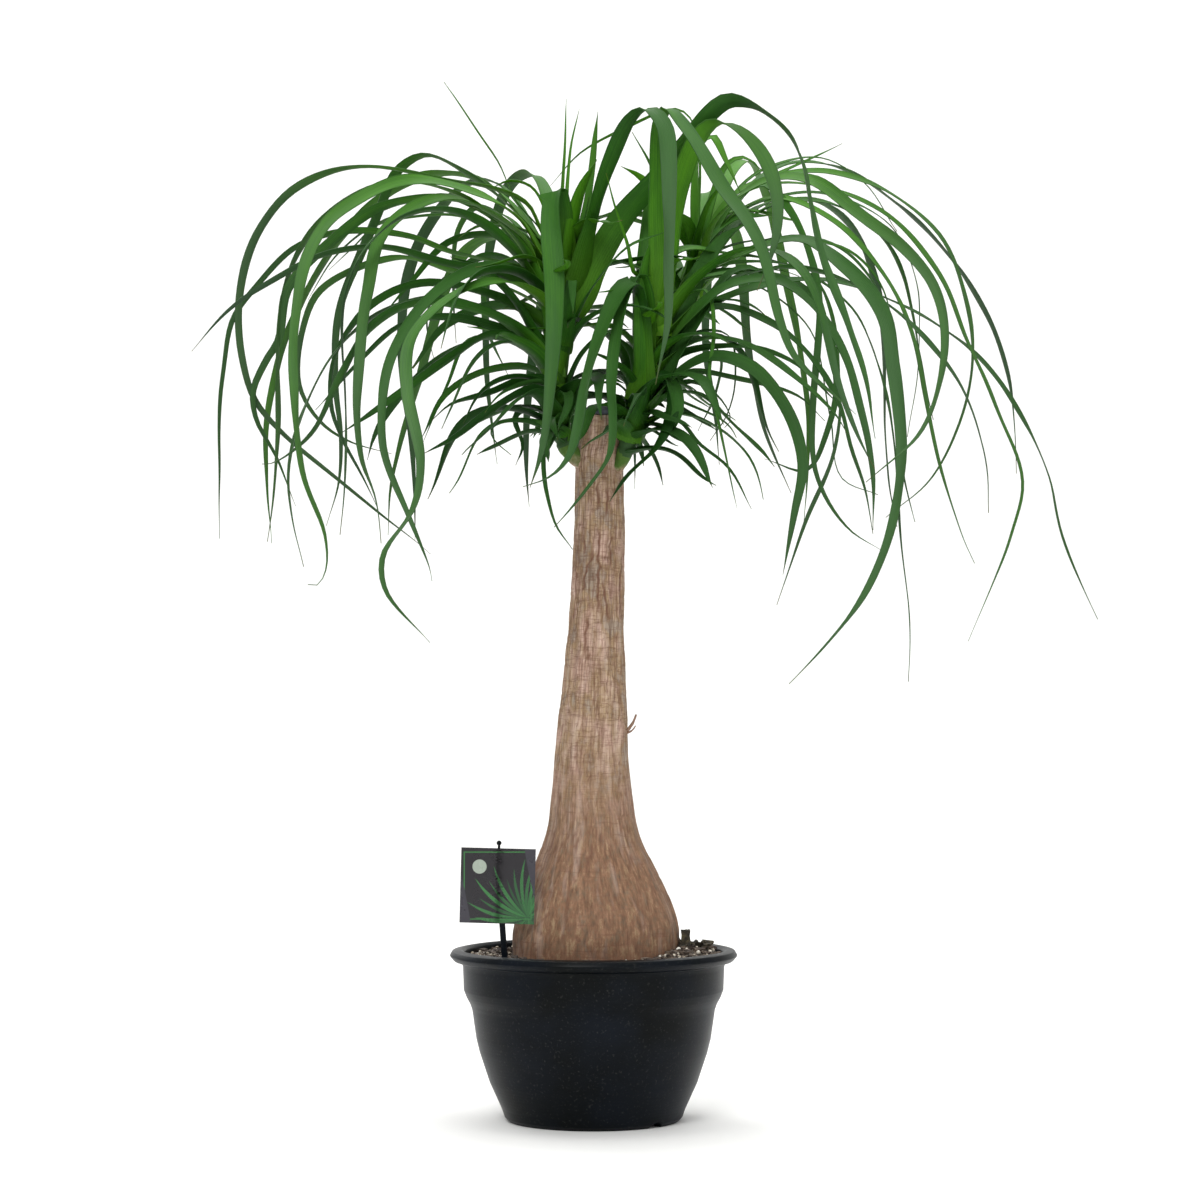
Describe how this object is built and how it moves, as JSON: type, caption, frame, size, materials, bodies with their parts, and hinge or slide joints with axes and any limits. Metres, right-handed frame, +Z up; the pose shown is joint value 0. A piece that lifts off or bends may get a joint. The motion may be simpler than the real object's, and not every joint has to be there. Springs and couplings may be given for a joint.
{
  "type": "potted ponytail palm",
  "caption": "Potted ponytail palm: swollen-footed trunk sawn and sealed above leafy shoots of arching strap leaves, in a black nursery pot with a small plant label.",
  "frame": {"origin": "middle of the pot's foot, on the surface it stands on", "axes": "+Z up along the pot's axis, -Y towards the front, where the plant label stands, +X to the right as seen from the front"},
  "size_m": [0.8674, 0.7153, 0.9828],
  "materials": {
    "pot_plastic": "satin",
    "potting_mix": "matte",
    "bark": "matte",
    "sealing_wax": "glossy",
    "foliage": "satin",
    "card": "glossy",
    "stake_plastic": "satin"
  },
  "bodies": {
    "root": {"pot": "pot_plastic", "soil": "potting_mix", "trunk": "bark", "wax_seal": "sealing_wax", "head_left": "foliage", "head_right": "foliage", "head_back": "foliage", "label_card": "card", "label_stake": "stake_plastic"}
  },
  "joints": []
}
